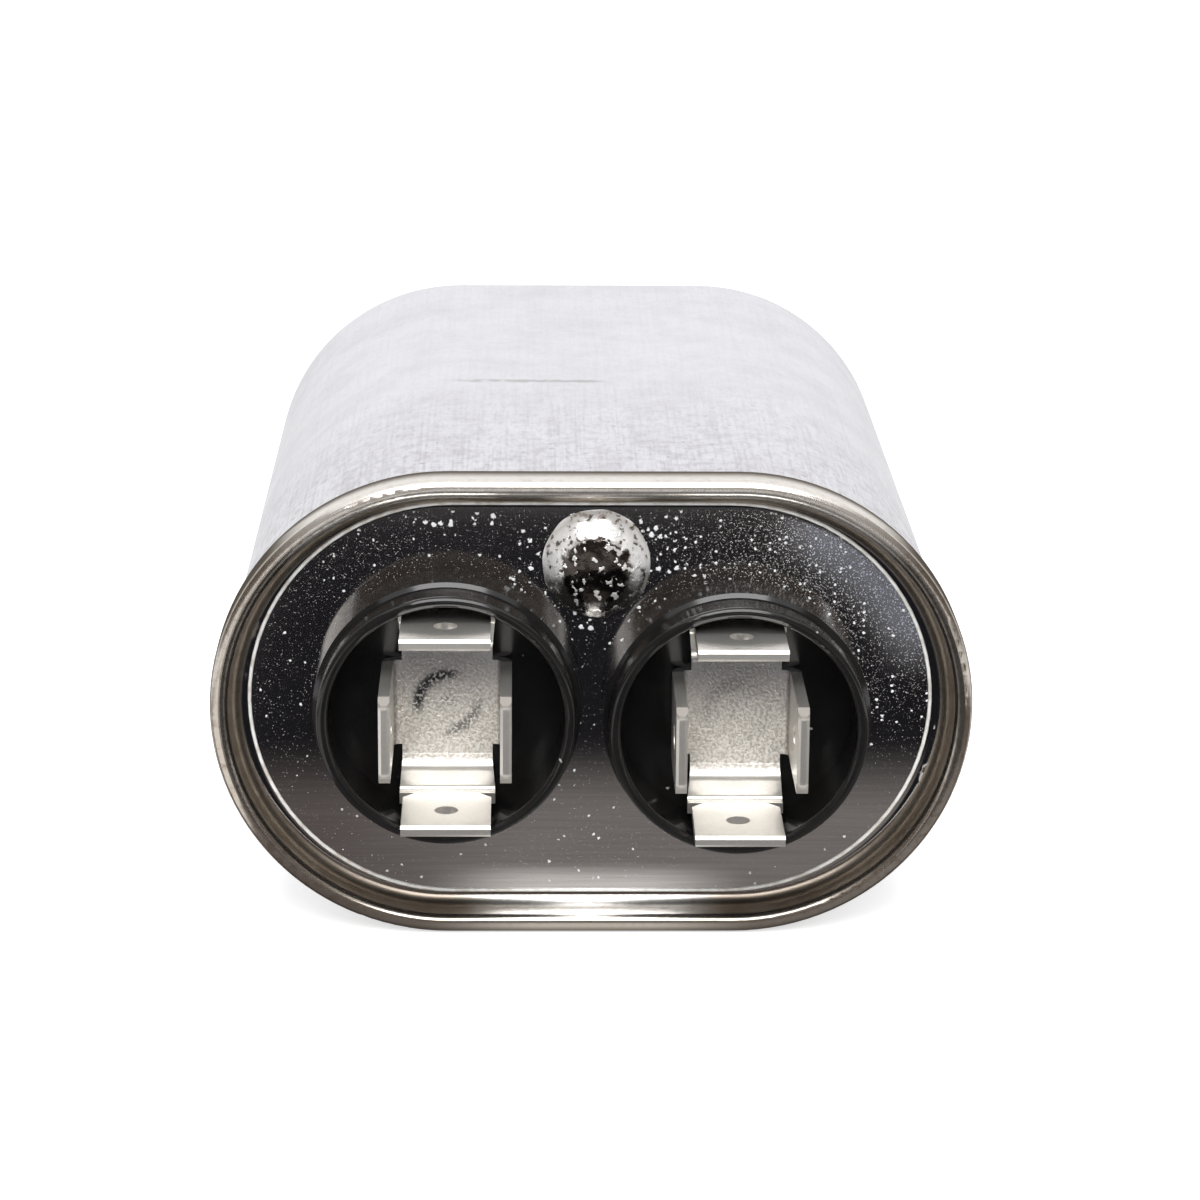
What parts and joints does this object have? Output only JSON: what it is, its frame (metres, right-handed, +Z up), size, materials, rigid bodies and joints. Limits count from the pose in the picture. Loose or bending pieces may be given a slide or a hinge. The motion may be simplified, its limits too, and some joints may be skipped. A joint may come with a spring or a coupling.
{
  "type": "motor run capacitor",
  "caption": "Oval motor run capacitor: a drawn metal can with a double-seamed tinplate lid, a soldered fill hole and insulated terminals with quick-connect blades.",
  "frame": {"origin": "on the ground below the middle of the part's box, with the can lying on its flat side", "axes": "+Y along the can's axis towards its closed end, -Y the way the terminals face, +Z up across the flat of the oval"},
  "size_m": [0.055, 0.0826, 0.0341],
  "materials": {
    "can_metal": "satin, drawn",
    "tinplate": "bright, mirror-like",
    "solder": "bright, uneven",
    "black_moulding": "gloss",
    "tinned_brass": "tin-plated, satin",
    "rivet_steel": "plain",
    "gasket_rubber": "matt",
    "washer_plastic": "matt",
    "tinned_strap": "tinned",
    "film_roll": "sprayed metal ends",
    "liner_film": "matt",
    "pressboard": "fibrous"
  },
  "bodies": {
    "root": {"can": "can_metal", "lid": "tinplate", "solder_seal": "solder", "cup_left": "black_moulding", "cup_right": "black_moulding", "terminal_left": "tinned_brass", "terminal_right": "tinned_brass", "stud_left": "rivet_steel", "stud_right": "rivet_steel", "gasket_left": "gasket_rubber", "gasket_right": "gasket_rubber", "washer_left": "washer_plastic", "washer_right": "washer_plastic", "lead_left": "tinned_strap", "lead_right": "tinned_strap", "winding": "film_roll", "liner": "liner_film", "bottom_pad": "pressboard"}
  },
  "joints": []
}
